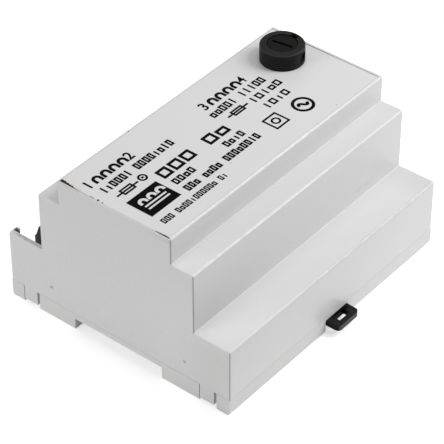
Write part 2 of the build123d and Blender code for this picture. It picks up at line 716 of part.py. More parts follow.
def leg_slot(x, z):
    """The slot that a contact's solder leg goes down."""
    y = (CAVITY[0] - LEG - 2 * BAR_FIT, CAVITY[0])
    return block(span(x, BAR_WIDTH + 2 * BAR_FIT), y, z)


def terminal_body(side):
    """A two-pole block: sloped wire face, cage wells, screw holes on top and round wire entries."""
    face = outline([
        (TERMINAL_BACK, BOARD_TOP),
        (WIRE_FACE, BOARD_TOP),
        (WIRE_FACE, TERMINAL_TOP - SLOPE_HEIGHT - SLOPE_LEDGE),
        (WIRE_FACE - SLOPE_LEDGE, TERMINAL_TOP - SLOPE_HEIGHT),
        (WIRE_FACE - SLOPE_LEDGE - SLOPE_RUN, TERMINAL_TOP),
        (TERMINAL_BACK, TERMINAL_TOP),
    ])
    near = side * (HALF - TERMINAL_INSET - TERMINAL_WIDTH)
    body = along_x(face, sorted((near, near + side * TERMINAL_WIDTH)))
    for x in pole_places(side):
        well = span(x, CAGE_WIDTH + 2 * CAGE_FIT)
        body -= block(well, CAVITY, (BOARD_TOP + TERMINAL_FLOOR, CAVITY_TOP))
        body -= leg_slot(x, (BOARD_TOP - OVERCUT, BAR_TOP + BAR_FIT))
        body -= rod((x, CLAMP), SCREW_HEAD_RADIUS + SCREW_FIT, (CAVITY_TOP, TERMINAL_TOP + OVERCUT))
        wire_height = WIRE_FLOOR + WIRE_ROOM / 2
        entry = Pos(x, WIRE_FACE, wire_height) * Rot(X=90) * Cylinder(WIRE_RADIUS, 2 * WIRE_WALL)
        body -= entry
    return body


def clamp_screw(x):
    """A slotted clamp screw. Its end bears on the contact bar."""
    screw = rod((x, CLAMP), SCREW_RADIUS, (BAR_TOP + BAR_FIT, HEAD_BOTTOM))
    screw += rod((x, CLAMP), SCREW_HEAD_RADIUS, (HEAD_BOTTOM, HEAD_TOP))
    slot = (HEAD_TOP - SCREW_SLOT_DEPTH, HEAD_TOP + OVERCUT)
    return screw - block(span(x, 4 * SCREW_HEAD_RADIUS), span(CLAMP, SCREW_SLOT_WIDTH), slot)


def clamp_cage(x):
    """The cage that the screw lifts to press a wire against the contact bar."""
    cage = block(span(x, CAGE_WIDTH), span(CLAMP, CAGE_DEPTH), (CAGE_BOTTOM, CAGE_TOP))
    cage -= block(span(x, CAGE_WIDTH - 2 * CAGE_SIDE), span(CLAMP, 2 * CAGE_DEPTH), (WIRE_FLOOR, CAGE_ROOF))
    return cage - rod((x, CLAMP), SCREW_RADIUS + THREAD_FIT, (CAGE_ROOF - CAGE_FIT, CAGE_TOP + CAGE_FIT))


def contact_bar(x):
    """The fixed bar through the cage, bent down into a solder leg."""
    leg_y = (CAVITY[0] - LEG - BAR_FIT, CAVITY[0] - BAR_FIT)
    leg_bottom = BOARD_TOP - BOARD - LEG_STICKOUT
    bar = block(span(x, BAR_WIDTH), (leg_y[0], CAVITY[1] - CAGE_FIT), (BAR_BOTTOM, BAR_TOP))
    return bar + block(span(x, BAR_WIDTH), leg_y, (leg_bottom, BAR_TOP))


# Transformer

def core_plate(depth):
    """A full-width slab of the stacked core between two y values."""
    return block(span(0, CORE_WIDTH), depth, (CORE_BOTTOM, CORE_TOP))


def with_core_holes(stack):
    """A stack with the screw holes that fall on it."""
    for place in CORE_HOLES:
        stack -= rod(place, CORE_SCREW_RADIUS + CORE_SCREW_FIT, (CORE_BOTTOM, CORE_TOP))
    return stack


def core_e_stack():
    """The E laminations: back yoke, two outer legs and the middle leg."""
    stack = core_plate((-CORE_DEPTH / 2, CORE_DEPTH / 2 - CORE_YOKE))
    window = (-CORE_WINDOW_LENGTH / 2, CORE_WINDOW_LENGTH / 2)
    for side in (-1, 1):
        middle = side * (CORE_LEG + CORE_WINDOW) / 2
        stack -= block(span(middle, CORE_WINDOW), window, (CORE_BOTTOM, CORE_TOP))
    return with_core_holes(stack)


def core_i_stack():
    """The I laminations that close the E."""
    return with_core_holes(core_plate((CORE_DEPTH / 2 - CORE_YOKE, CORE_DEPTH / 2)))


def ring(inner, outer, y):
    """A sleeve round the middle leg between two distances from it, square inside the bobbin's tube."""
    shapes = []
    for grow in (outer, inner):
        size = (CORE_LEG + 2 * grow, CORE_STACK + 2 * grow)
        corner = grow - BOBBIN_FIT
        face = RectangleRounded(*size, corner) if corner > 0 else Rectangle(*size)
        shapes.append(along_y(Pos(0, CORE_MIDDLE) * face, y))
    return shapes[0] - shapes[1]


def winding_span():
    """The two y limits between the bobbin's flanges."""
    return span(0, 2 * (FLANGE_FACE - FLANGE))


def bobbin():
    """The former: a square tube on the middle leg with a flange at each end."""
    tube_outer = BOBBIN_FIT + BOBBIN_WALL
    length = (-FLANGE_FACE, FLANGE_FACE)
    former = ring(BOBBIN_FIT, tube_outer, length)
    rim = WINDING + FLANGE_RIM
    for y in ((-FLANGE_FACE, FLANGE - FLANGE_FACE), (FLANGE_FACE - FLANGE, FLANGE_FACE)):
        former += ring(tube_outer, rim, y)
    for x in PIN_PLACES:
        former -= bobbin_pin(x)
    return former


def bobbin_pin(x):
    """A solder pin held in the rear flange."""
    pin = Cylinder(PIN_RADIUS, PIN_LENGTH + FLANGE)
    return Pos(x, (FLANGE_FACE - FLANGE + PIN_TIP) / 2, PIN_HEIGHT) * Rot(X=90) * pin


def bobbin_pins():
    """The solder pins as one group."""
    return Compound([bobbin_pin(x) for x in PIN_PLACES])


def winding(inner, thickness):
    """One layer of wire or tape on the bobbin."""
    return ring(inner, inner + thickness, winding_span())


def thermal_link():
    """The cut-out that lies on the winding, with a wire at each end."""
    body = Pos(LINK_PLACE, 0, LINK_HEIGHT) * Rot(X=90) * Cylinder(LINK_RADIUS, LINK_LENGTH)
    end = LINK_LENGTH / 2
    turn = -end - LINK_WIRE_FRONT
    front = [(LINK_PLACE, -end, LINK_HEIGHT), (LINK_PLACE, turn, LINK_HEIGHT), (LINK_PLACE, turn, TAPE_TOP)]
    rear = [(LINK_PLACE, end, LINK_HEIGHT), (LINK_PLACE, LINK_WIRE_END, LINK_HEIGHT)]
    body += wire(front, LINK_WIRE_RADIUS, LINK_WIRE_BEND)
    return body + wire(rear, LINK_WIRE_RADIUS, LINK_WIRE_BEND)


def core_screws():
    """Four screws through the core into the posts of the base."""
    screws = []
    for place in CORE_HOLES:
        shank = rod(place, CORE_SCREW_RADIUS, (CORE_BOTTOM - POST_SCREW_DEPTH + CORE_SCREW_FIT, CORE_TOP))
        screws.append(shank + rod(place, CORE_SCREW_HEAD_RADIUS, (CORE_TOP, CORE_TOP + CORE_SCREW_HEAD)))
    return Compound(screws)


# Leads

def pad_drop(x):
    """The last point of a lead, on its pad of the board."""
    return x, PAD, BOARD_TOP


def lead_to_pad(start, turn, x):
    """A lead that comes over the core at a start, turns down at a height and ends on a pad."""
    points = [start, (start[0], PAD, start[2]), (x, PAD, turn), pad_drop(x)]
    return wire(points, LEAD_RADIUS, LEAD_BEND)


def pin_end(index):
    """The end of one bobbin pin."""
    return PIN_PLACES[index], PIN_TIP, PIN_HEIGHT


def lead_from_link(x):
    """The lead from the thermal link, down behind the winding and over the core to its pad."""
    over = CORE_TOP + LEAD_CLEAR
    points = [
        (LINK_PLACE, LINK_WIRE_END, LINK_HEIGHT),
        (LINK_PLACE, LINK_LEAD_DROP, LINK_HEIGHT),
        (LINK_PLACE, LINK_LEAD_DROP, over),
        (LINK_PLACE, PAD, over),
        (x, PAD, CORE_MIDDLE - LEAD_BEND),
        pad_drop(x),
    ]
    return wire(points, LEAD_RADIUS, LEAD_TIGHT_BEND)


def lead_to_fuse():
    """The lead from a secondary pin to the side lug of the fuse holder."""
    start = pin_end(2)
    lug = (FUSE_AXIS[0], FUSE_AXIS[1] + LUG_FACE, PIN_HEIGHT)
    turn = max(PIN_TIP, lug[1]) + LEAD_BEND + LEAD_RADIUS
    points = [start, (start[0], turn, PIN_HEIGHT), (lug[0], turn, PIN_HEIGHT), lug]
    return wire(points, LEAD_RADIUS, LEAD_BEND)


def lead_from_fuse(x):
    """The lead from the bottom lug of the fuse holder to the output pad."""
    turn = (BOARD_TOP + BOTTOM_LUG_END) / 2
    points = [
        (*FUSE_AXIS, BOTTOM_LUG_END),
        (*FUSE_AXIS, turn),
        (x, PAD, turn),
        pad_drop(x),
    ]
    return wire(points, LEAD_RADIUS, LEAD_BEND)


# All pieces by name
input_x = pole_places(SIDES["input"])
output_x = pole_places(SIDES["output"])
primary_inner = BOBBIN_FIT + BOBBIN_WALL
secondary_inner = primary_inner + PRIMARY

pieces = {
    "base": base(),
    "hood": hood(),
    "front_panel": front_panel(),
    "rail_latch": rail_latch(),
    "latch_spring": latch_spring(),
    "fuse_holder_body": fuse_holder_body(),
    "fuse_holder_nut": fuse_holder_nut(),
    "fuse_cap": fuse_cap(),
    "fuse_tube": fuse_tube(),
    "fuse_end_caps": fuse_end_caps(),
    "fuse_wire": fuse_wire(),
    "fuse_side_contact": fuse_side_contact(),
    "fuse_bottom_contact": fuse_bottom_contact(),
    "terminal_board": terminal_board(),
    "core_e_stack": core_e_stack(),
    "core_i_stack": core_i_stack(),
    "core_screws": core_screws(),
    "bobbin": bobbin(),
    "bobbin_pins": bobbin_pins(),
    "primary_winding": winding(primary_inner, PRIMARY),
    "secondary_winding": winding(secondary_inner, SECONDARY),
    "winding_tape": winding(secondary_inner + SECONDARY, TAPE),
    "thermal_link": thermal_link(),
    "lead_primary": lead_to_pad(pin_end(0), CORE_MIDDLE, input_x[0]),
    "lead_thermal_link": lead_from_link(input_x[1]),
    "lead_secondary": lead_to_pad(pin_end(1), CORE_MIDDLE, output_x[1]),
    "lead_to_fuse": lead_to_fuse(),
    "lead_from_fuse": lead_from_fuse(output_x[0]),
}
for name, side in SIDES.items():
    pieces[f"{name}_terminal_body"] = terminal_body(side)
    for number, x in enumerate(pole_places(side), start=1):
        pieces[f"{name}_screw_{number}"] = clamp_screw(x)
        pieces[f"{name}_cage_{number}"] = clamp_cage(x)
        pieces[f"{name}_contact_{number}"] = contact_bar(x)

os.makedirs("parts", exist_ok=True)
for name, piece in pieces.items():
    export_step(piece, f"parts/{name}.step")
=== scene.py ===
"""Looks of the DIN rail transformer: finishes, panel print, dirt, latch spring and studio."""
import json
import math
import random

import bpy
from mathutils import Matrix, Vector


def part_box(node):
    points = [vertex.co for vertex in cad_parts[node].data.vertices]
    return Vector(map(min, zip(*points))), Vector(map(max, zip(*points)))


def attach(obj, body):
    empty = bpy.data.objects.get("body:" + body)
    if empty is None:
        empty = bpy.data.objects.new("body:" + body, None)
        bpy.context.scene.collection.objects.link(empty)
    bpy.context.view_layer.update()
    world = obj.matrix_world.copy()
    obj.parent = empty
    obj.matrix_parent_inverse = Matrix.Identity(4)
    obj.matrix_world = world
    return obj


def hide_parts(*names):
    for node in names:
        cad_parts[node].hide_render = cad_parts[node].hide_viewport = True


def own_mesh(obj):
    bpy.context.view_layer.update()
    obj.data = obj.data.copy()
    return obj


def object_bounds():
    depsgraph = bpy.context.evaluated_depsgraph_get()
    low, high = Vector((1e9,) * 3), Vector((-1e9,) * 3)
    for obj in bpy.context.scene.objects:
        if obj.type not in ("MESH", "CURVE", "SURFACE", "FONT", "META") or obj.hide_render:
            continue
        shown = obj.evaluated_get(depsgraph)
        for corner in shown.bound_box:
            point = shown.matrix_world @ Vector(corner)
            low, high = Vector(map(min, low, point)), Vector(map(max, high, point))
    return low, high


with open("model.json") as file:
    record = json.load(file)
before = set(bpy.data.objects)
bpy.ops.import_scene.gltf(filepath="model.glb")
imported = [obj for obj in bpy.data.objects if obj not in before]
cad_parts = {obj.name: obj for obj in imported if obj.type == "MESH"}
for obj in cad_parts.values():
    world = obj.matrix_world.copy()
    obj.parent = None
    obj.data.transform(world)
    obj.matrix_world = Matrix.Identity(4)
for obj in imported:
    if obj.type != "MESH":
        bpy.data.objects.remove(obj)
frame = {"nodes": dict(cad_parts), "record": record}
cad_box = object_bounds()
nodes = frame["nodes"]
scene = bpy.context.scene

MM = 0.001
PANEL_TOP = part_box("front_panel")[1].z
FLOOR_HEIGHT = cad_box[0][2]

# Camera: where it stands, as two angles, a distance and a small offset of its aim
IMAGE_PIXELS = 444
FOCAL_PIXELS = 2229.99
SENSOR = 36.0
AZIMUTH = math.radians(-50.919)
ELEVATION = math.radians(39.375)
AIM = Vector((-0.5, 0.0, 24.7)) * MM
AIM_SIDEWAYS = -0.520 * MM
AIM_UPWARD = -7.163 * MM
DISTANCE = 713.3 * MM

# Studio: an even sky and softboxes, each with its place in metres, its width and its power in watts
SKY_LIGHT = 0.21
SOFTBOXES = {
    "key": {"place": (0.384, -0.473, 1.036), "size": 0.20, "power": 2.21},
    "right": {"place": (0.535, -0.659, 0.849), "size": 0.40, "power": 3.49},
    "top": {"place": (0.10, 0.0, 1.20), "size": 0.50, "power": 3.15},
    "left_fill": {"place": (-0.83, 0.35, 0.32), "size": 0.50, "power": 3.61},
    "near_low": {"place": (0.22, -0.16, 0.10), "size": 0.16, "power": 0.177},
    "near_high": {"place": (0.28, -0.22, 0.30), "size": 0.16, "power": 0.160},
}

# Floor: how much it glows where it is seen directly, and half its width in metres
FLOOR_GLOW = 0.55
FLOOR_REACH = 0.16

# Colours of the studio and of the outside, as linear values
WHITE = (1.0, 1.0, 1.0)
FLOOR_GREY = (0.82, 0.82, 0.82)
HOUSING = (0.720, 0.720, 0.720)
PANEL = (0.715, 0.715, 0.713)
BASE = (0.728, 0.728, 0.722)
BLACK = (0.0095, 0.0095, 0.0090)
CAP_BLACK = (0.0085, 0.0085, 0.0080)
COLLAR_BLACK = (0.0130, 0.0130, 0.0124)
LATCH_BLACK = (0.0195, 0.0195, 0.0185)
# A black for painted shade on the latch's top close to the housing, and a grey for painted light on its front
# face
PAINTED_SHADE_BLACK = (0.0012, 0.0012, 0.0012)
LIT_FRONT_BLACK = (0.090, 0.090, 0.086)
# A grey for painted sheen on the collar's rim and ring crests
PAINTED_RIM_SHEEN = (0.045, 0.045, 0.044)
INK = (0.0025, 0.0025, 0.0025)
DIRT = (0.017, 0.011, 0.007)
LIGHT_DIRT = (0.090, 0.066, 0.030)
DUST = (0.60, 0.60, 0.59)
YELLOWED = (0.60, 0.575, 0.47)
SMEARED = (0.56, 0.53, 0.475)
CHIPPED = (0.86, 0.79, 0.72)
# A grey for a scuff and for painted shade, a pale for painted highlights, and a dark grey for painted shade
SCUFF_AND_SHADE_GREY = (0.60, 0.60, 0.595)
PAINTED_HIGHLIGHT_PALE = (0.86, 0.86, 0.85)
PAINTED_SHADE_GREY = (0.30, 0.30, 0.29)

# Colours of the metals and of the inside, as linear values
SPRING_STEEL = (0.55, 0.55, 0.54)
SCREW_STEEL = (0.62, 0.62, 0.60)
NICKEL = (0.66, 0.65, 0.61)
BRASS = (0.72, 0.53, 0.22)
CORE_STEEL = (0.22, 0.22, 0.23)
COPPER = (0.62, 0.24, 0.11)
TAPE = (0.75, 0.52, 0.08)
BOBBIN = (0.75, 0.73, 0.66)
BOARD = (0.025, 0.11, 0.035)
BOARD_WEAVE = (0.05, 0.17, 0.06)
GLASS = (0.95, 0.97, 0.96)
LEADS = {
    "lead_blue": (0.04, 0.11, 0.42),
    "lead_brown": (0.15, 0.06, 0.025),
    "lead_black": (0.02, 0.02, 0.02),
    "lead_red": (0.45, 0.03, 0.03),
}

# Moulded grain of the plastics: grains to the metre, and their depth in metres
PALE_GRAIN = {"grain": 5200, "depth": 2e-6}
PANEL_GRAIN = {"grain": 5200, "depth": 1.5e-6}
BLACK_GRAIN = {"grain": 3000, "depth": 5e-6}
INK_GRAIN = {"grain": 2200, "depth": 1e-6}
DIRT_GRAIN = {"grain": 1500, "depth": 6e-5}
DUST_GRAIN = {"grain": 1500, "depth": 2e-5}

# Clouds of tone in plastic to the metre, and how far its roughness strays
PLASTIC_CLOUDS = 22
PLASTIC_STRAY = 0.05

# Brush marks and dull patches of metal to the metre, the marks' depth in metres, and how the roughness strays
BRUSH_MARKS = 900
DULL_PATCHES = 160
BRUSH_DEPTH = 3e-6
METAL_STRAY = (-0.08, 0.10)

# Flow streaks of the housing to the metre along X, Y and Z, and their shade
STREAKS = (260, 260, 14)
STREAK_SHADE = 0.98

# Painted shade of the upright rounded corners of the housing
CORNER_SHADE = 0.55

# Stains, painted shade and painted highlights: colour, strength, and spans along X, Y and Z, each as low end,
# high end and soft edge in millimetres
STAINS_AND_PAINTED_LIGHT = [
    (YELLOWED, 0.7, (-53.1, -51.7, 0.6), (15.0, 22.5, 2.0), (53.2, 54.0, 0.6)),
    (SMEARED, 0.45, (-53.1, -52.4, 0.6), (-22.6, -17.0, 4.0), (52.2, 54.0, 1.2)),
    (CHIPPED, 0.9, (-53.1, -52.3, 0.3), (-22.6, -21.7, 0.4), (53.1, 54.0, 0.3)),
    (SCUFF_AND_SHADE_GREY, 0.5, (29.5, 36.0, 2.0), (-31.2, -30.8, 0.2), (24.8, 25.8, 0.8)),
    # Painted shade that dims the highlight along the low step's front edge
    (SCUFF_AND_SHADE_GREY, 1.0, (4.0, 53.1, 30.0), (-45.1, -44.35, 0.1), (21.1, 21.8, 0.1)),
    # Painted highlights along the front edges of the hood's rim before the panel and of the middle step
    (PAINTED_HIGHLIGHT_PALE, 0.7, (-51.0, 10.0, 30.0), (-22.6, -21.75, 0.05), (53.1, 53.8, 0.1)),
    (PAINTED_HIGHLIGHT_PALE, 0.6, (-51.0, 0.0, 25.0), (-31.1, -30.35, 0.1), (43.5, 44.2, 0.1)),
    # Painted shade in the two dimples of the left end
    (PAINTED_SHADE_GREY, 0.5, (-53.1, -52.5, 0.1), (27.2, 27.6, 0.7), (7.9, 8.3, 0.7)),
    (PAINTED_SHADE_GREY, 0.5, (-53.1, -52.5, 0.1), (-27.6, -27.2, 0.7), (7.9, 8.3, 0.7)),
    # Painted shade in the cover groove of the rear post
    (PAINTED_SHADE_GREY, 1.0, (-51.4, -50.0, 0.1), (43.3, 44.6, 0.1), (5.7, 21.8, 0.1)),
    # Painted shade along the top of the low rear wall
    (PAINTED_SHADE_GREY, 0.4, (-53.1, -51.3, 0.1), (31.6, 42.0, 0.4), (21.6, 21.8, 0.1)),
    # Painted shade in the panel's right gap beside the collar, in the colour of the dirt
    (DIRT, 1.0, (51.7, 51.95, 0.1), (6.5, 16.0, 5.0), (52.2, 53.6, 0.1)),
]

# Clouds in each stain and painted mark to the metre, and the levels of their pattern at which a mark starts
# and is full
MARK_CLOUDS = 700
MARK_STARTS = 0.30
MARK_FULL = 0.60

# Painted shade on the hood and base, darker towards the lower front of the left end, the lower left of the
# second riser and the right end of the low tread: axis that the shaded face looks along, strength, and spans
# as above
PAINTED_SHADE_ZONES = [
    ("X", 0.75, (-53.2, -52.6, 0.1), (-45.2, -38.0, 16.0), (-5.0, 16.0, 10.0)),
    ("Y", 0.70, (-53.2, -44.0, 30.0), (-31.2, -30.8, 0.1), (21.0, 28.0, 12.0)),
    ("Z", 0.40, (49.0, 53.2, 10.0), (-45.2, -31.0, 0.5), (21.2, 22.0, 0.3)),
]

# Painted shade on the latch's top close to the housing: spans along X and Y as above
LATCH_PAINTED_SHADE = [(-0.8, 4.4, 2.0), (-46.2, -30.0, 0.7)]

# Width of the painted light along the rail latch's front edge and the collar's rim, and the fade at the rim,
# in millimetres
LIT_EDGE_WIDTH = 0.3
RIM_FADE = 0.1

# Turned rings of the fuse holder's collar and the radius where its rounded rim starts, in millimetres
COLLAR_RING_PITCH = 0.75
COLLAR_RING_DEPTH = 0.04
COLLAR_RIM = 7.25

# Painted sheen on the collar's rings: its strength, and the level of their wave from which a crest takes it
RING_SHEEN = 0.45
RING_CREST = 0.4

# Print on the panel, in millimetres: how far it stands above and sinks into it, its strokes and its symbols
INK_HEIGHT = 0.02
INK_SINK = 0.01
INK_THICKNESS = INK_HEIGHT + INK_SINK
STROKE = 0.74
BOLD_STROKE = 1.10
FINE_STROKE = 0.53
ARCH_RADIUS = 1.25
ARCH_GAP = 0.25
WAVE_LENGTH = 3.8
WAVE_HEIGHT = 1.0
DIGIT_HEIGHT = 5.4

# Symbols: a fuse's lead as a share of its length, and the room at each end of a thermal link's bar in strokes
FUSE_LEAD = 0.22
BAR_ROOM = 1.6

# Rows of blocks: width to pitch, share of tall ones, height of a low one to a tall one, and share of bars
BLOCK_FILL = 0.84
TALL_SHARE = 0.65
LOW_BLOCK = 0.78
BAR_SHARE = 0.18
PRINT_SEED = 7

# Terminal numbers: digit, how much its strokes are widened on each side, and its place, in millimetres
TERMINAL_NUMBERS = [
    ("1", 0.12, -50.4, 11.6),
    ("2", 0.12, -31.6, 11.6),
    ("3", 0.12, 2.4, 9.8),
    ("4", 0.04, 21.2, 9.8),
]

# Dirt and dust in the gap round the panel, in millimetres
DIRT_DEPTH = 0.12
DIRT_THICKNESS = 0.6
DUST_DEPTH = 0.05
PANEL_FIT = 0.06
REAR_GAP = 0.18

# Dirt packed into the left gap: its width on the panel, and how far from the corner, in millimetres
REAR_DIRT = [(1.1, 0.0), (0.75, 3.0), (0.15, 6.5), (0.03, 12.0)]
FRONT_DIRT = [(0.25, 0.0), (0.03, 6.7)]

# Light crumbs in the dirt to the metre, and the levels of their pattern at which one starts and is full
CRUMBS = 1100
CRUMB_STARTS = 0.50
CRUMB_FULL = 0.68

# Specks on the panel: place and radius, in millimetres
SPECKS = [
    (-52.1, 20.9, 0.55), (-52.0, 20.0, 0.45), (-52.2, 18.6, 0.36), (-52.3, 17.6, 0.32), (-52.35, 16.6, 0.30),
    (-52.4, 6.2, 0.40), (-52.5, 4.4, 0.24), (-52.5, 9.0, 0.22), (-52.5, 8.2, 0.20), (-21.0, 21.6, 0.24),
    (31.0, -20.4, 0.16), (-13.1, -13.2, 0.14),
]
SPECK_POINTS = 9

# Smear at the panel's front left corner: points along it, and its width there, in millimetres
FRONT_SMEAR = [(-52.65, -22.0, 0.30), (-52.45, -20.6, 0.42), (-52.5, -18.8, 0.30), (-52.55, -16.6, 0.12)]

# Coil spring of the rail latch, in millimetres
COIL_RADIUS = 0.85
COIL_WIRE = 0.4
COIL_TURNS = 6
COIL_STEPS = 24

# Sockets of a colour mix, and the scale of a banded pattern with one band to the metre
MIX_SHARE = 0
MIX_FIRST = 6
MIX_SECOND = 7
MIX_RESULT = 2
BAND_SCALE = math.pi / 20


def feed(tree, socket, value):
    """Gives a socket a value, or links another node's socket to it."""
    if isinstance(value, bpy.types.NodeSocket):
        tree.links.new(value, socket)
    else:
        socket.default_value = value


def add_node(tree, kind, inputs, **settings):
    """A node with its settings; each input takes a value or another node's socket."""
    made = tree.nodes.new(kind)
    for key, value in settings.items():
        setattr(made, key, value)
    for socket, value in inputs.items():
        feed(tree, made.inputs[socket], value)
    return made


def colour(value):
    """A colour with its fourth value, or a socket as it is."""
    if isinstance(value, bpy.types.NodeSocket):
        return value
    return (*value, 1.0)


def shade(value, factor):
    """A colour made darker by a factor."""
    return tuple(part * factor for part in value)


class Finish:
    """One material: its node tree, with short calls for the nodes that the finishes share."""

    def __init__(self, name):
        self.material = bpy.data.materials.new(name)
        self.material.use_nodes = True
        self.tree = self.material.node_tree
        self.shader = self.tree.nodes["Principled BSDF"]
        coordinates = self.node("ShaderNodeTexCoord", {})
        self.place = coordinates.outputs["Object"]
        self.facing = coordinates.outputs["Normal"]

    def node(self, kind, inputs, **settings):
        """A node of this material."""
        return add_node(self.tree, kind, inputs, **settings)

    def set(self, **values):
        """Values or sockets for the shader's own inputs, with spaces written as underscores."""
        for key, value in values.items():
            feed(self.tree, self.shader.inputs[key.replace("_", " ")], value)

    def noise(self, per_metre, detail=3.0, stretch=(1, 1, 1)):
        """Cloudy pattern from 0 to 1, so many clouds to the metre."""
        scaled = self.node("ShaderNodeMapping", {"Vector": self.place, "Scale": stretch})
        inputs = {"Vector": scaled.outputs["Vector"], "Scale": per_metre, "Detail": detail}
        made = self.node("ShaderNodeTexNoise", inputs)
        return made.outputs["Fac"]

    def bands(self, per_metre, axis):
        """Even bands from 0 to 1 across one axis, so many to the metre."""
        inputs = {"Vector": self.place, "Scale": per_metre * BAND_SCALE}
        made = self.node("ShaderNodeTexWave", inputs, wave_type="BANDS", bands_direction=axis)
        return made.outputs["Fac"]

    def spread(self, value, low, high, start=0.3, end=0.7):
        """The pattern's range from start to end, spread from low to high."""
        inputs = {"Value": value, "From Min": start, "From Max": end, "To Min": low, "To Max": high}
        made = self.node("ShaderNodeMapRange", inputs)
        return made.outputs["Result"]

    def blend(self, share, first, second):
        """First colour at a share of 0, second at 1."""
        inputs = {MIX_SHARE: share, MIX_FIRST: colour(first), MIX_SECOND: colour(second)}
        made = self.node("ShaderNodeMix", inputs, data_type="RGBA")
        return made.outputs[MIX_RESULT]

    def arithmetic(self, operation, *values):
        """Result of one operation on values or patterns."""
        made = self.node("ShaderNodeMath", dict(enumerate(values)), operation=operation)
        return made.outputs[0]

    def times(self, first, second):
        """Product of two values or patterns."""
        return self.arithmetic("MULTIPLY", first, second)

    def relief(self, height, depth):
        """Bump of that depth in metres."""
        made = self.node("ShaderNodeBump", {"Height": height, "Distance": depth, "Strength": 1.0})
        self.set(Normal=made.outputs["Normal"])

    def axis(self, letter):
        """One coordinate in metres."""
        made = self.node("ShaderNodeSeparateXYZ", {"Vector": self.place})
        return made.outputs[letter]

    def faces(self, letter):
        """1 where the surface looks along one axis, either way, and 0 where it looks across it."""
        made = self.node("ShaderNodeSeparateXYZ", {"Vector": self.facing})
        return self.times(made.outputs[letter], made.outputs[letter])

    def between(self, value, span):
        """1 between a span's low and high end, falling to 0 over its soft edge, all three in millimetres."""
        low, high, soft = (length * MM for length in span)
        rise = self.spread(value, 0, 1, low - soft, low)
        fall = self.spread(value, 1, 0, high, high + soft)
        return self.times(rise, fall)

    def zone(self, spans):
        """1 inside spans along X, Y and Z."""
        cover = 1.0
        for letter, span in zip("XYZ", spans):
            cover = self.times(cover, self.between(self.axis(letter), span))
        return cover


def plastic(name, base, rough, tone=0.985, grain=2600, depth=4e-6, shine=0.5):
    """Moulded plastic: faint clouds of tone, a fine spark-eroded grain and an uneven sheen."""
    finish = Finish(name)
    clouds = finish.spread(finish.noise(PLASTIC_CLOUDS), 0, 1)
    finish.tone = finish.blend(clouds, shade(base, tone), base)
    fine = finish.noise(grain, detail=2.0)
    sheen = finish.spread(fine, rough - PLASTIC_STRAY, rough + PLASTIC_STRAY)
    finish.set(Base_Color=finish.tone, Roughness=sheen, Specular_IOR_Level=shine)
    finish.relief(fine, depth)
    return finish


def metal(name, base, rough, stretch=(1, 1, 1), dull=0.8):
    """Plated or bare metal: brushed unevenness in sheen and tone."""
    finish = Finish(name)
    brushed = finish.noise(BRUSH_MARKS, detail=4.0, stretch=stretch)
    patches = finish.spread(finish.noise(DULL_PATCHES), 0, 1)
    tone = finish.blend(patches, shade(base, dull), base)
    smoothest, roughest = (rough + stray for stray in METAL_STRAY)
    finish.set(Base_Color=tone, Metallic=1.0, Roughness=finish.spread(brushed, smoothest, roughest))
    finish.relief(brushed, BRUSH_DEPTH)
    return finish


def with_stains_and_painted_light(finish):
    """The finish's tone with the stains, painted shade and painted highlights on it, each cloudy and soft at
    its edges.
    """
    tone = finish.tone
    clouds = finish.noise(MARK_CLOUDS, detail=4.0)
    for mark_colour, strength, *spans in STAINS_AND_PAINTED_LIGHT:
        cloudy = finish.spread(clouds, 0, strength, MARK_STARTS, MARK_FULL)
        tone = finish.blend(finish.times(cloudy, finish.zone(spans)), tone, mark_colour)
    return tone


def with_painted_shade(finish, tone):
    """A tone with soft painted shade on some lower faces of the mouldings."""
    for letter, strength, *spans in PAINTED_SHADE_ZONES:
        cover = finish.spread(finish.faces(letter), 0, strength)
        tone = finish.blend(finish.times(finish.zone(spans), cover), tone, SCUFF_AND_SHADE_GREY)
    return tone


def with_painted_corner_shade(finish, tone):
    """A tone with painted shade on the upright rounded corners, where the surface faces both X and Y."""
    half_way_round = 0.5 * 0.5
    both = finish.times(finish.faces("X"), finish.faces("Y"))
    cover = finish.spread(both, 0, 1, start=0, end=half_way_round)
    return finish.blend(cover, tone, shade(HOUSING, CORNER_SHADE))


# Finishes of the outside mouldings
housing = plastic("housing_grey", HOUSING, rough=0.30, tone=0.975, **PALE_GRAIN)
streaks = housing.spread(housing.noise(1.0, detail=2.0, stretch=STREAKS), 0, 1)
housing.tone = housing.blend(streaks, housing.tone, shade(HOUSING, STREAK_SHADE))
# The hood's tone: flow streaks, stains, painted highlights, and painted shade on its lower faces and upright
# corners
housing.set(Base_Color=with_painted_corner_shade(housing, with_painted_shade(housing, with_stains_and_painted_light(housing))))

panel = plastic("panel_grey", PANEL, rough=0.42, **PANEL_GRAIN)
panel.set(Base_Color=with_stains_and_painted_light(panel))

base = plastic("base_grey", BASE, rough=0.48, tone=0.97, **PALE_GRAIN)
# The base's tone takes the same painted shade, darker towards the front of its left end
base.set(Base_Color=with_painted_shade(base, base.tone))

black = plastic("black_plastic", BLACK, rough=0.36, tone=0.8, shine=0.29, **BLACK_GRAIN)
cap = plastic("cap_black", CAP_BLACK, rough=0.42, tone=0.85, shine=0.03, **BLACK_GRAIN)
bobbin = plastic("bobbin_plastic", BOBBIN, rough=0.42)


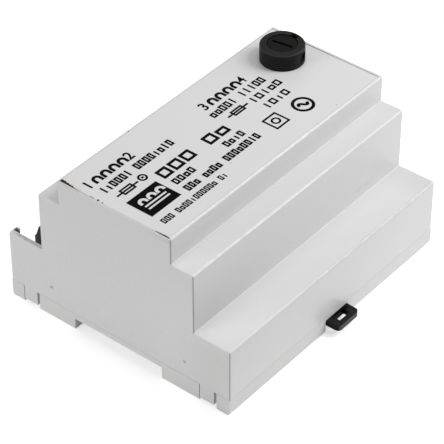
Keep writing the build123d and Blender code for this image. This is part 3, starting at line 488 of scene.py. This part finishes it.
def turned_collar():
    """Black plastic of the fuse holder: fine rings round its axis with painted sheen on their crests, and a
    painted highlight along its rim.
    """
    finish = plastic("collar_black", COLLAR_BLACK, rough=0.32, tone=0.85, shine=0.035, **BLACK_GRAIN)
    low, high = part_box("fuse_cap")
    centre = ((low.x + high.x) / 2, (low.y + high.y) / 2, 0)
    flat = finish.node("ShaderNodeVectorMath", {0: finish.place, 1: (1, 1, 0)}, operation="MULTIPLY")
    away = finish.node("ShaderNodeVectorMath", {0: flat.outputs["Vector"], 1: centre}, operation="DISTANCE")
    radius = away.outputs["Value"]
    height = finish.arithmetic("SUBTRACT", finish.axis("Z"), PANEL_TOP)
    run = finish.arithmetic("ADD", radius, height)
    rings = finish.arithmetic("SINE", finish.times(run, 2 * math.pi / (COLLAR_RING_PITCH * MM)))
    finish.relief(rings, COLLAR_RING_DEPTH * MM)
    crests = finish.spread(rings, 0, RING_SHEEN, start=RING_CREST, end=1)
    sheened_rings = finish.blend(crests, finish.tone, PAINTED_RIM_SHEEN)
    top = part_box("fuse_holder_body")[1].z / MM
    outside = finish.between(radius, (COLLAR_RIM, COLLAR_RIM + 2 * LIT_EDGE_WIDTH, RIM_FADE))
    edge = finish.between(finish.axis("Z"), (top - LIT_EDGE_WIDTH, top, RIM_FADE))
    finish.set(Base_Color=finish.blend(finish.times(outside, edge), sheened_rings, PAINTED_RIM_SHEEN))
    return finish


def latch_with_painted_light():
    """Black plastic of the latch, with painted light that makes its front face grey along the pull edge, and
    painted shade that makes it deep black close to the housing.
    """
    finish = plastic("latch_black", LATCH_BLACK, rough=0.42, tone=0.8, shine=0.03, **BLACK_GRAIN)
    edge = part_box("rail_latch")[0].y / MM
    front = finish.between(finish.axis("Y"), (edge - LIT_EDGE_WIDTH, edge + LIT_EDGE_WIDTH, LIT_EDGE_WIDTH))
    upright = finish.spread(finish.faces("Z"), 1, 0)
    lit_front = finish.blend(finish.times(front, upright), finish.tone, LIT_FRONT_BLACK)
    finish.set(Base_Color=finish.blend(finish.zone(LATCH_PAINTED_SHADE), lit_front, PAINTED_SHADE_BLACK))
    return finish


# Finishes of the metals
spring_steel = metal("spring_steel", SPRING_STEEL, rough=0.30)
screw_steel = metal("screw_steel", SCREW_STEEL, rough=0.28, stretch=(6, 1, 1))
nickel = metal("nickel", NICKEL, rough=0.26, stretch=(1, 1, 6))
brass = metal("brass", BRASS, rough=0.30, stretch=(1, 6, 1), dull=0.7)


def laminations():
    """Stacked sheets of electrical steel: dark, with fine edges showing across the stack."""
    finish = metal("core_steel", CORE_STEEL, rough=0.45, dull=0.65)
    finish.relief(finish.bands(per_metre=2000, axis="Y"), depth=4e-5)
    return finish


def enamelled_wire():
    """Layers of enamelled copper wire lying side by side."""
    finish = metal("copper", COPPER, rough=0.28, dull=0.75)
    finish.set(Coat_Weight=0.5, Coat_Roughness=0.15)
    finish.relief(finish.bands(per_metre=2200, axis="Z"), depth=8e-5)
    return finish


def tape_film():
    """Yellow polyester tape wound in overlapping turns."""
    finish = plastic("tape", TAPE, rough=0.22, tone=0.85)
    finish.relief(finish.bands(per_metre=90, axis="Z"), depth=3e-5)
    return finish


def circuit_board():
    """Green solder mask over woven glass, with the weave just showing."""
    finish = plastic("board", BOARD, rough=0.30, tone=0.8)
    warp = finish.bands(per_metre=1100, axis="X")
    weft = finish.bands(per_metre=1100, axis="Y")
    weave = finish.times(warp, weft)
    showing = finish.spread(weave, low=0, high=0.5, start=0, end=1)
    finish.set(Base_Color=finish.blend(showing, finish.tone, BOARD_WEAVE))
    finish.relief(weave, depth=1.2e-5)
    return finish


def clear_glass():
    """Clear glass tube with faint draw lines."""
    finish = Finish("fuse_glass")
    lines = finish.noise(per_metre=500, detail=2.0, stretch=(1, 1, 0.05))
    finish.set(Base_Color=colour(GLASS), Roughness=finish.spread(lines, low=0.02, high=0.06))
    finish.set(IOR=1.5, Transmission_Weight=1.0)
    return finish


def insulation(name, base):
    """Coloured PVC round a lead."""
    return plastic(name, base, rough=0.38, tone=0.85, grain=1800)


# Each node takes the finish of its material slot, and the collar and the latch their own
finishes = {
    "housing_grey": housing, "panel_grey": panel, "base_grey": base, "black_plastic": black, "cap_black": cap,
    "spring_steel": spring_steel, "screw_steel": screw_steel, "nickel": nickel, "brass": brass,
    "fuse_glass": clear_glass(), "board": circuit_board(), "core_steel": laminations(),
    "bobbin_plastic": bobbin, "copper": enamelled_wire(), "tape": tape_film(),
}
for name, lead in LEADS.items():
    finishes[name] = insulation(name, lead)
for subpart in frame["record"]["subparts"]:
    node = nodes[subpart["node"]]
    node.data.materials.clear()
    node.data.materials.append(finishes[subpart["material_slot"]].material)
nodes["fuse_holder_body"].data.materials[0] = turned_collar().material
nodes["rail_latch"].data.materials[0] = latch_with_painted_light().material


def block(x, y, width, height):
    """Outline of an upright block from its lower left corner."""
    return [(x, y), (x + width, y), (x + width, y + height), (x, y + height)]


def ring(x, y, radius, points=32):
    """Outline of a disc."""
    turns = [2 * math.pi * step / points for step in range(points)]
    return [(x + radius * math.cos(turn), y + radius * math.sin(turn)) for turn in turns]


def hoop(x, y, radius, width):
    """Outer and inner outline of a round line."""
    return [ring(x, y, radius), ring(x, y, radius - width)]


def ribbon(path, width):
    """Outline of a line of that width along a path of points."""
    left = []
    right = []
    for step, (x, y) in enumerate(path):
        before = Vector(path[max(step - 1, 0)])
        after = Vector(path[min(step + 1, len(path) - 1)])
        along = (after - before).normalized()
        left.append((x - along.y * width / 2, y + along.x * width / 2))
        right.append((x + along.y * width / 2, y - along.x * width / 2))
    return left + right[::-1]


def arch(x, y, radius, leg, width, points=12):
    """Half ring on two legs."""
    turns = [math.pi * step / points for step in range(points + 1)]
    bow = [(x + radius * math.cos(turn), y + leg + radius * math.sin(turn)) for turn in turns]
    return ribbon([(x + radius, y)] + bow + [(x - radius, y)], width)


def wave(x, y, length, height, width, points=24):
    """One turn of a sine, centred on its place."""
    steps = [step / points for step in range(points + 1)]
    return ribbon([(x + length * (s - 0.5), y + height * math.sin(2 * math.pi * s)) for s in steps], width)


def winding(x, y, arches, leg):
    """Row of bold arches with a gap between them, from the left end."""
    pitch = 2 * ARCH_RADIUS + BOLD_STROKE + ARCH_GAP
    return [arch(x + pitch * (number + 0.5), y, ARCH_RADIUS, leg, BOLD_STROKE) for number in range(arches)]


def fuse_symbol(x, y, length, height, width):
    """Hollow block with a line through it that stands out at both ends: its outline and two windows."""
    left = x + length * FUSE_LEAD
    right = x + length * (1 - FUSE_LEAD)
    low = y + (height - width) / 2
    high = low + width
    end = x + length
    top = y + height
    outer = [(x, low), (left, low), (left, y), (right, y), (right, low), (end, low),
             (end, high), (right, high), (right, top), (left, top), (left, high), (x, high)]
    opening = right - left - 2 * width
    pane = (height - 3 * width) / 2
    return [outer, block(left + width, y + width, opening, pane), block(left + width, high, opening, pane)]


def thermal_symbol(x, y, radius, width):
    """Hoop with a short bar in it."""
    bar = radius - BAR_ROOM * width
    return hoop(x, y, radius, width) + [block(x - bar, y - width / 2, 2 * bar, width)]


def square_symbol(x, y, half, radius, width):
    """Square frame with a hoop in it, about its centre."""
    frame_lines = [block(x - size, y - size, 2 * size, 2 * size) for size in (half, half - width)]
    return frame_lines + hoop(x, y, radius, width)


def supply_symbol(x, y, radius, width):
    """Hoop with one wave of alternating current in it."""
    return hoop(x, y, radius, width) + [wave(x, y, WAVE_LENGTH, WAVE_HEIGHT, width)]


def words(x, y, length, height, counts, stroke=STROKE, bars=BAR_SHARE):
    """Row of hollow blocks, with a share of bars, in groups that stand for words: some tall, some low."""
    pitch = length / (sum(counts) + len(counts) - 1)
    width = pitch * BLOCK_FILL
    row = []
    for count in counts:
        for _ in range(count):
            tall = height if draw.random() < TALL_SHARE else height * LOW_BLOCK
            if draw.random() < bars:
                row.append(block(x + (width - stroke) / 2, y, stroke, tall))
            else:
                row.append(block(x, y, width, tall))
                row.append(block(x + stroke, y + stroke, width - 2 * stroke, tall - 2 * stroke))
            x += pitch
        x += pitch
    return row


def curve_piece(name, curve, place):
    """Mesh piece from a curve or text, set in its place."""
    shape = bpy.data.objects.new(name + "_shape", curve)
    scene.collection.objects.link(shape)
    bpy.context.view_layer.update()
    mesh = bpy.data.meshes.new_from_object(shape.evaluated_get(bpy.context.evaluated_depsgraph_get()))
    bpy.data.objects.remove(shape)
    mesh.transform(place)
    piece = bpy.data.objects.new(name, mesh)
    scene.collection.objects.link(piece)
    return piece


def thin_plate(name, outlines, top, thickness):
    """Mesh of flat shapes from closed outlines in millimetres; an outline inside another is a hole."""
    curve = bpy.data.curves.new(name, "CURVE")
    curve.dimensions = "2D"
    curve.fill_mode = "BOTH"
    curve.extrude = thickness / 2 * MM
    for points in outlines:
        spline = curve.splines.new("POLY")
        spline.points.add(len(points) - 1)
        for point, (x, y) in zip(spline.points, points):
            point.co = (x * MM, y * MM, 0, 1)
        spline.use_cyclic_u = True
    return curve_piece(name, curve, Matrix.Translation((0, 0, top - thickness / 2 * MM)))


def wear(piece, finish, body):
    """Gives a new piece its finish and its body."""
    piece.data.materials.clear()
    piece.data.materials.append(finish.material)
    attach(piece, body)


# Panel print: plain numbers, winding and fuse symbols, and rows of blocks, all in one black ink
ink = plastic("print_ink", INK, rough=0.45, tone=0.6, shine=0.02, **INK_GRAIN)
ink_top = PANEL_TOP + INK_HEIGHT * MM
draw = random.Random(PRINT_SEED)

# Input side: winding over a row of blocks, with a fuse and a thermal link
print_shapes = winding(-46.9, 11.6, arches=4, leg=1.6)
print_shapes += words(-48.7, 6.4, 32.7, 3.2, [6, 8])
print_shapes += fuse_symbol(-47.6, 1.4, 9.6, 3.0, STROKE)
print_shapes += thermal_symbol(-35.7, 3.1, 1.7, STROKE)

# Dark field with a winding over the two lines of a core
print_shapes += [block(-48.2, -11.4, 13.6, 10.3)]
print_shapes += winding(-46.4, -5.6, arches=3, leg=0.7)
print_shapes += [block(-46.0, line, 9.6, 0.7) for line in (-7.2, -8.7)]

# Rows of blocks along the middle and the front
print_shapes += words(-31.9, -2.8, 32.8, 4.6, [3, 2], BOLD_STROKE, bars=0)
print_shapes += words(-31.7, -7.4, 9.6, 2.9, [4])
print_shapes += words(-7.6, -7.6, 9.2, 2.9, [4])
print_shapes += words(-31.8, -12.2, 35.4, 3.0, [3, 4, 8])
print_shapes += words(-48.2, -16.6, 30.0, 2.4, [3, 11, 2], FINE_STROKE)

# Output side: winding over a row of blocks, with a fuse, two short rows and two symbols
print_shapes += winding(5.9, 9.8, arches=4, leg=1.6)
print_shapes += words(1.3, 5.0, 26.6, 3.2, [5, 5])
print_shapes += fuse_symbol(4.2, 0.6, 9.8, 2.8, STROKE)
print_shapes += words(15.2, 0.2, 15.2, 3.0, [5])
print_shapes += words(15.7, -5.0, 12.2, 3.0, [4])
print_shapes += square_symbol(12.4, -10.6, 3.3, 1.7, STROKE)
print_shapes += supply_symbol(24.6, -11.9, 3.9, BOLD_STROKE)
panel_print = thin_plate("panel_print", print_shapes, ink_top, INK_THICKNESS)
wear(panel_print, ink, "housing")

for digit, boldness, x, y in TERMINAL_NUMBERS:
    text = bpy.data.curves.new("digit_" + digit, "FONT")
    text.body = digit
    text.size = DIGIT_HEIGHT * MM
    text.offset = boldness * MM
    text.extrude = INK_THICKNESS / 2 * MM
    place = Matrix.Translation((x * MM, y * MM, ink_top - INK_THICKNESS / 2 * MM))
    number = curve_piece("terminal_number_" + digit, text, place)
    wear(number, ink, "housing")

# Dirt: packed into the gap at the panel's left corners, with specks and a smear on the panel
dirt = plastic("gap_dirt", DIRT, rough=0.8, tone=0.5, shine=0.2, **DIRT_GRAIN)
crumbs = dirt.spread(dirt.noise(CRUMBS), 0, 1, CRUMB_STARTS, CRUMB_FULL)
dirt.set(Base_Color=dirt.blend(crumbs, dirt.tone, LIGHT_DIRT))
panel_low, panel_high = (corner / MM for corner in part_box("front_panel"))


def packed_dirt(corner, way, widths):
    """Outline of dirt in the left gap, which narrows on the panel as it runs along Y from a corner."""
    edge = [(panel_low.x + width, corner + way * run) for width, run in widths]
    rim = panel_low.x - PANEL_FIT
    return [(rim, edge[-1][1]), (rim, edge[0][1])] + edge


packed = [packed_dirt(panel_high.y, -1, REAR_DIRT), packed_dirt(panel_low.y, 1, FRONT_DIRT)]
gap_dirt = thin_plate("gap_dirt", packed, PANEL_TOP - DIRT_DEPTH * MM, DIRT_THICKNESS)
wear(gap_dirt, dirt, "housing")

smear = [(x - width / 2, y) for x, y, width in FRONT_SMEAR]
smear += [(x + width / 2, y) for x, y, width in reversed(FRONT_SMEAR)]
speck_outlines = [ring(x, y, radius, SPECK_POINTS) for x, y, radius in SPECKS] + [smear]
dirt_specks = thin_plate("dirt_specks", speck_outlines, ink_top, INK_THICKNESS)
wear(dirt_specks, dirt, "housing")

# Pale dust that fills the gap behind the panel
dust = plastic("gap_dust", DUST, rough=0.8, tone=0.9, shine=0.2, **DUST_GRAIN)
gap = block(panel_low.x, panel_high.y, panel_high.x - panel_low.x, REAR_GAP)
gap_dust = thin_plate("gap_dust", [gap], PANEL_TOP - DUST_DEPTH * MM, DIRT_THICKNESS)
wear(gap_dust, dust, "housing")

# Coil spring of the rail latch, in place of the node's own spring
spring_low, spring_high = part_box("latch_spring")
spring_centre = (spring_low + spring_high) / 2
first = spring_low.y + COIL_WIRE / 2 * MM
last = spring_high.y - COIL_WIRE / 2 * MM
helix = bpy.data.curves.new("latch_coil", "CURVE")
helix.dimensions = "3D"
helix.bevel_depth = COIL_WIRE / 2 * MM
helix.bevel_resolution = 2
helix.use_fill_caps = True
thread = helix.splines.new("POLY")
thread.points.add(COIL_TURNS * COIL_STEPS)
for step, point in enumerate(thread.points):
    turn = 2 * math.pi * step / COIL_STEPS
    x = spring_centre.x + COIL_RADIUS * MM * math.cos(turn)
    y = first + (last - first) * step / (COIL_TURNS * COIL_STEPS)
    z = spring_centre.z + COIL_RADIUS * MM * math.sin(turn)
    point.co = (x, y, z, 1)
coil = curve_piece("latch_coil", helix, Matrix.Identity(4))
coil.data.shade_smooth()
wear(coil, spring_steel, "housing")
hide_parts("latch_spring")
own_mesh(coil)

# Camera
toward = Vector((math.sin(AZIMUTH) * math.cos(ELEVATION), -math.cos(AZIMUTH) * math.cos(ELEVATION),
                 math.sin(ELEVATION)))
sideways = Vector((0, 0, 1)).cross(toward).normalized()
upward = toward.cross(sideways)
camera_data = bpy.data.cameras.new("camera")
camera_data.sensor_width = SENSOR
camera_data.lens = FOCAL_PIXELS / IMAGE_PIXELS * SENSOR
camera = bpy.data.objects.new("camera", camera_data)
camera_turn = Matrix((sideways, upward, toward)).transposed()
stand = AIM + sideways * AIM_SIDEWAYS + upward * AIM_UPWARD + toward * DISTANCE
camera.matrix_world = Matrix.Translation(stand) @ camera_turn.to_4x4()
scene.collection.objects.link(camera)
scene.camera = camera


def softbox(name, place, size, power):
    """Square lamp that is turned to the object."""
    data = bpy.data.lights.new(name, "AREA")
    data.shape = "SQUARE"
    data.size = size
    data.energy = power
    lamp = bpy.data.objects.new(name, data)
    aim = AIM - Vector(place)
    lamp.matrix_world = Matrix.Translation(place) @ aim.to_track_quat("-Z", "Y").to_matrix().to_4x4()
    scene.collection.objects.link(lamp)


def seen_directly(tree):
    """1 where the camera, a reflection or glass sees the surface, 0 where it only lights the object."""
    path = add_node(tree, "ShaderNodeLightPath", {})
    seen = path.outputs["Is Camera Ray"]
    for ray in ("Is Glossy Ray", "Is Transmission Ray"):
        either = add_node(tree, "ShaderNodeMath", {0: seen, 1: path.outputs[ray]}, operation="MAXIMUM")
        seen = either.outputs[0]
    return seen


def white_sky():
    """Even light on the object, with plain white behind it."""
    world = bpy.data.worlds.new("studio")
    world.use_nodes = True
    tree = world.node_tree
    light = tree.nodes["Background"]
    feed(tree, light.inputs["Color"], colour(WHITE))
    feed(tree, light.inputs["Strength"], SKY_LIGHT)
    behind = add_node(tree, "ShaderNodeBackground", {"Color": colour(WHITE)})
    choices = {0: seen_directly(tree), 1: light.outputs[0], 2: behind.outputs[0]}
    chosen = add_node(tree, "ShaderNodeMixShader", choices)
    feed(tree, tree.nodes["World Output"].inputs["Surface"], chosen.outputs[0])
    return world


def pale_paper():
    """Matte paper of the floor, which glows a little where it is seen directly."""
    paper = bpy.data.materials.new("floor_paper")
    paper.use_nodes = True
    tree = paper.node_tree
    tree.nodes.remove(tree.nodes["Principled BSDF"])
    matte = add_node(tree, "ShaderNodeBsdfDiffuse", {"Color": colour(FLOOR_GREY)})
    lift = add_node(tree, "ShaderNodeMath", {0: seen_directly(tree), 1: FLOOR_GLOW}, operation="MULTIPLY")
    glow = add_node(tree, "ShaderNodeEmission", {"Strength": lift.outputs[0]})
    both = add_node(tree, "ShaderNodeAddShader", {0: matte.outputs[0], 1: glow.outputs[0]})
    feed(tree, tree.nodes["Material Output"].inputs["Surface"], both.outputs[0])
    return paper


# Studio: softboxes, even white sky and pale floor
for name, settings in SOFTBOXES.items():
    softbox(name, **settings)
scene.world = white_sky()
floor_mesh = bpy.data.meshes.new("floor")
corners = [(-1, -1), (1, -1), (1, 1), (-1, 1)]
floor_places = [(x * FLOOR_REACH, y * FLOOR_REACH, FLOOR_HEIGHT) for x, y in corners]
floor_mesh.from_pydata(floor_places, [], [(0, 1, 2, 3)])
floor_mesh.materials.append(pale_paper())
floor = bpy.data.objects.new("floor", floor_mesh)
scene.collection.objects.link(floor)

scene.view_settings.view_transform = "Standard"
